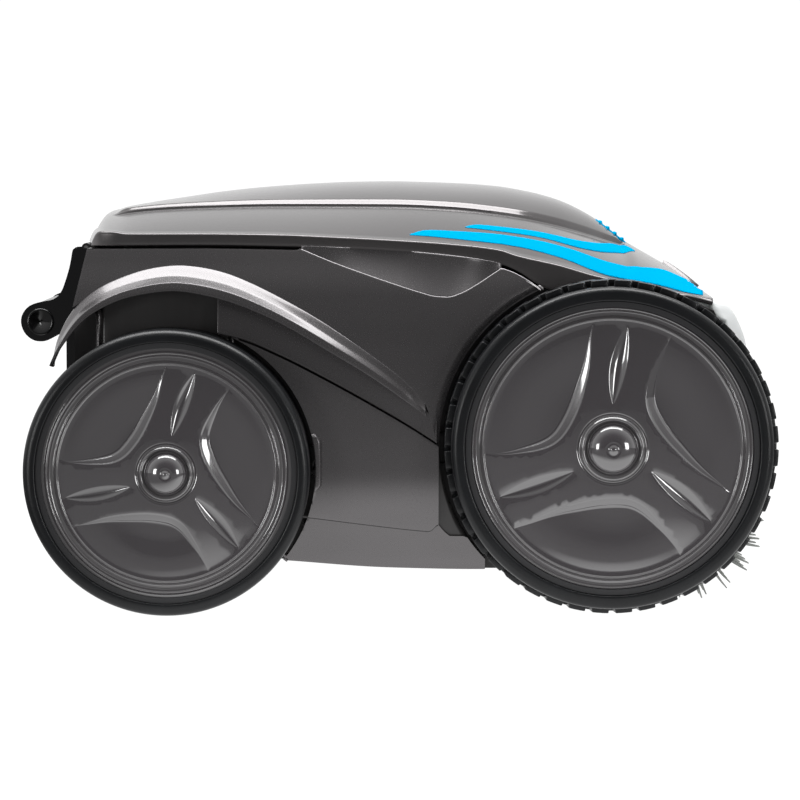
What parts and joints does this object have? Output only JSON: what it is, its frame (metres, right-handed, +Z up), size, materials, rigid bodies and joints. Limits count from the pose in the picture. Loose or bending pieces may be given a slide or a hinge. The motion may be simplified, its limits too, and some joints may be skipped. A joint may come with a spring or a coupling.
{
  "type": "pool cleaner",
  "caption": "Four-wheeled robotic pool cleaner with a hinged hood over its filter basket, geared drive wheels, turning brush rollers, a pump impeller and a carrying handle.",
  "frame": {"origin": "centre of the footprint, on the floor under the wheels", "axes": "+X towards the brush end, +Y towards the cleaner's left, +Z up"},
  "size_m": [0.485, 0.43, 0.2711],
  "materials": {
    "body_gloss": "gloss metallic",
    "hump_gloss": "gloss metallic",
    "cyan_plastic": "gloss",
    "nose_clear": "translucent",
    "black_gloss": "gloss",
    "black_matte": "matt",
    "steel": "brushed",
    "board_green": "satin",
    "belt_rubber": "matt",
    "gear_plastic": "satin",
    "tyre_rubber": "satin",
    "rim_plastic": "satin",
    "cover_gloss": "gloss",
    "fin_rubber": "matt",
    "basket_frame": "satin",
    "filter_cloth": "fine mesh"
  },
  "bodies": {
    "chassis": {"shell_side_left": "body_gloss", "shell_side_right": "body_gloss", "shell_rear": "body_gloss", "shell_floor": "body_gloss", "mouth_frame": "body_gloss", "shell_bay": "body_gloss", "side_panel_left": "body_gloss", "side_panel_right": "body_gloss", "lower_panel_left": "body_gloss", "lower_panel_right": "body_gloss", "access_covers": "body_gloss", "fender_left": "body_gloss", "fender_right": "body_gloss", "front_nose": "nose_clear", "rear_grille": "black_gloss", "handle_arms": "black_gloss", "handle_grip": "black_gloss", "cable_gland": "black_gloss", "motor_block": "black_matte", "motor_block_cover": "black_matte", "pump_motor": "steel", "drive_motors": "steel", "control_board": "board_green", "impeller_duct": "black_matte", "suction_duct": "black_matte", "filter_seat": "black_matte", "bottom_plate": "black_matte", "pins_and_screws": "steel", "drive_belts": "belt_rubber"},
    "front_wheel_left": {"front_tyre_left": "tyre_rubber", "front_rim_left": "rim_plastic", "front_cover_left": "cover_gloss"},
    "rear_wheel_left": {"rear_tyre_left": "tyre_rubber", "rear_rim_left": "rim_plastic", "rear_cover_left": "cover_gloss"},
    "front_drive_left": {"front_drive_gear_left": "gear_plastic"},
    "rear_drive_left": {"rear_drive_gear_left": "gear_plastic"},
    "idler_left": {"brush_idler_left": "gear_plastic"},
    "brush_left": {"brush_core_left": "black_matte", "brush_fins_left": "fin_rubber"},
    "front_wheel_right": {"front_tyre_right": "tyre_rubber", "front_rim_right": "rim_plastic", "front_cover_right": "cover_gloss"},
    "rear_wheel_right": {"rear_tyre_right": "tyre_rubber", "rear_rim_right": "rim_plastic", "rear_cover_right": "cover_gloss"},
    "front_drive_right": {"front_drive_gear_right": "gear_plastic"},
    "rear_drive_right": {"rear_drive_gear_right": "gear_plastic"},
    "idler_right": {"brush_idler_right": "gear_plastic"},
    "brush_right": {"brush_core_right": "black_matte", "brush_fins_right": "fin_rubber"},
    "lid": {"hood_shell": "body_gloss", "hood_hump": "hump_gloss", "hood_trim": "cyan_plastic"},
    "button": {"release_button": "cyan_plastic"},
    "basket": {"filter_basket": "basket_frame", "filter_mesh": "filter_cloth"},
    "impeller": {"impeller": "black_matte"},
    "flap_left": {"inlet_flap_left": "black_matte"},
    "flap_right": {"inlet_flap_right": "black_matte"}
  },
  "joints": [
    {"name": "front_wheel_spin_left", "type": "hinge", "parent": "chassis", "child": "front_wheel_left", "pos_m": [0.137, 0, 0.1055], "axis": [0, 1, 0], "continuous": true},
    {"name": "rear_wheel_spin_left", "type": "hinge", "parent": "chassis", "child": "rear_wheel_left", "pos_m": [-0.1429, 0, 0.09], "axis": [0, 1, 0], "continuous": true},
    {"name": "front_drive_spin_left", "type": "hinge", "parent": "chassis", "child": "front_drive_left", "pos_m": [0.069, 0, 0.1055], "axis": [0, 1, 0], "continuous": true},
    {"name": "rear_drive_spin_left", "type": "hinge", "parent": "chassis", "child": "rear_drive_left", "pos_m": [-0.0869, 0, 0.09], "axis": [0, 1, 0], "continuous": true},
    {"name": "idler_spin_left", "type": "hinge", "parent": "chassis", "child": "idler_left", "pos_m": [0.19934, 0, 0.07834], "axis": [0, 1, 0], "continuous": true},
    {"name": "brush_spin_left", "type": "hinge", "parent": "chassis", "child": "brush_left", "pos_m": [0.1881, 0, 0.0527], "axis": [0, 1, 0], "continuous": true},
    {"name": "front_wheel_spin_right", "type": "hinge", "parent": "chassis", "child": "front_wheel_right", "pos_m": [0.137, 0, 0.1055], "axis": [0, 1, 0], "continuous": true},
    {"name": "rear_wheel_spin_right", "type": "hinge", "parent": "chassis", "child": "rear_wheel_right", "pos_m": [-0.1429, 0, 0.09], "axis": [0, 1, 0], "continuous": true},
    {"name": "front_drive_spin_right", "type": "hinge", "parent": "chassis", "child": "front_drive_right", "pos_m": [0.069, 0, 0.1055], "axis": [0, 1, 0], "continuous": true},
    {"name": "rear_drive_spin_right", "type": "hinge", "parent": "chassis", "child": "rear_drive_right", "pos_m": [-0.0869, 0, 0.09], "axis": [0, 1, 0], "continuous": true},
    {"name": "idler_spin_right", "type": "hinge", "parent": "chassis", "child": "idler_right", "pos_m": [0.19934, 0, 0.07834], "axis": [0, 1, 0], "continuous": true},
    {"name": "brush_spin_right", "type": "hinge", "parent": "chassis", "child": "brush_right", "pos_m": [0.1881, 0, 0.0527], "axis": [0, 1, 0], "continuous": true},
    {"name": "lid_hinge", "type": "hinge", "parent": "chassis", "child": "lid", "pos_m": [-0.2036, 0, 0.2278], "axis": [0, -1, 0], "range_deg": [0, 75]},
    {"name": "button_press", "type": "slide", "parent": "lid", "child": "button", "axis": [-0.6162, 0, -0.7876], "range_m": [0, 0.004], "stiffness_N_per_m": 500},
    {"name": "basket_lift", "type": "slide", "parent": "chassis", "child": "basket", "axis": [0, 0, 1], "range_m": [0, 0.08]},
    {"name": "impeller_spin", "type": "hinge", "parent": "chassis", "child": "impeller", "pos_m": [-0.166, 0, 0.16], "axis": [1, 0, 0], "continuous": true},
    {"name": "flap_left", "type": "hinge", "parent": "chassis", "child": "flap_left", "pos_m": [0.0834, 0, 0.0489], "axis": [0, -1, 0], "range_deg": [0, 60]},
    {"name": "flap_right", "type": "hinge", "parent": "chassis", "child": "flap_right", "pos_m": [0.0834, 0, 0.0489], "axis": [0, -1, 0], "range_deg": [0, 60]}
  ],
  "couplings": [
    {"joint": "rear_wheel_spin_left", "follows": "front_wheel_spin_left", "ratio": 1.1765},
    {"joint": "front_drive_spin_left", "follows": "front_wheel_spin_left", "ratio": 6.6667},
    {"joint": "rear_drive_spin_left", "follows": "front_wheel_spin_left", "ratio": 6.6667},
    {"joint": "idler_spin_left", "follows": "front_wheel_spin_left", "ratio": 6.6667},
    {"joint": "brush_spin_left", "follows": "front_wheel_spin_left", "ratio": -5},
    {"joint": "rear_wheel_spin_right", "follows": "front_wheel_spin_right", "ratio": 1.1765},
    {"joint": "front_drive_spin_right", "follows": "front_wheel_spin_right", "ratio": 6.6667},
    {"joint": "rear_drive_spin_right", "follows": "front_wheel_spin_right", "ratio": 6.6667},
    {"joint": "idler_spin_right", "follows": "front_wheel_spin_right", "ratio": 6.6667},
    {"joint": "brush_spin_right", "follows": "front_wheel_spin_right", "ratio": -5},
    {"joint": "basket_lift", "follows": "lid_hinge", "m_per_rad": 0.06}
  ]
}
